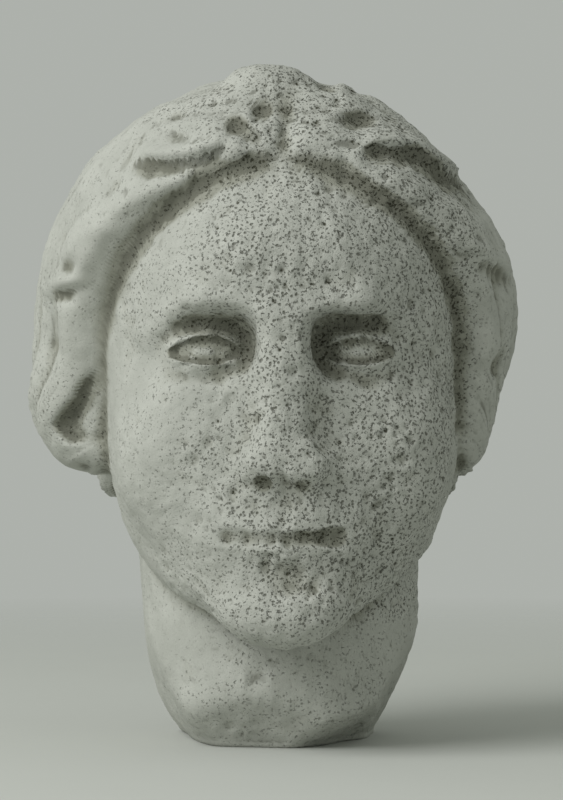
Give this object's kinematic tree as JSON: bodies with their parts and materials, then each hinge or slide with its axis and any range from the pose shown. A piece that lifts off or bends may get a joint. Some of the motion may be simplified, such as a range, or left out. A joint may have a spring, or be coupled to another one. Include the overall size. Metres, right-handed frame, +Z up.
{
  "type": "carved stone head",
  "caption": "Weathered limestone head broken off at the neck, with waved hair parted in the middle, for display standing on its break.",
  "frame": {"origin": "on the table plane, on the flat of the broken neck, below the middle of the head", "axes": "+Z up, the face looks towards -Y, +X to the viewer's right"},
  "size_m": [0.2076, 0.2299, 0.2832],
  "materials": {
    "stone": "rough, pitted, weathered"
  },
  "bodies": {
    "root": {"carved_head": "stone"}
  },
  "joints": []
}
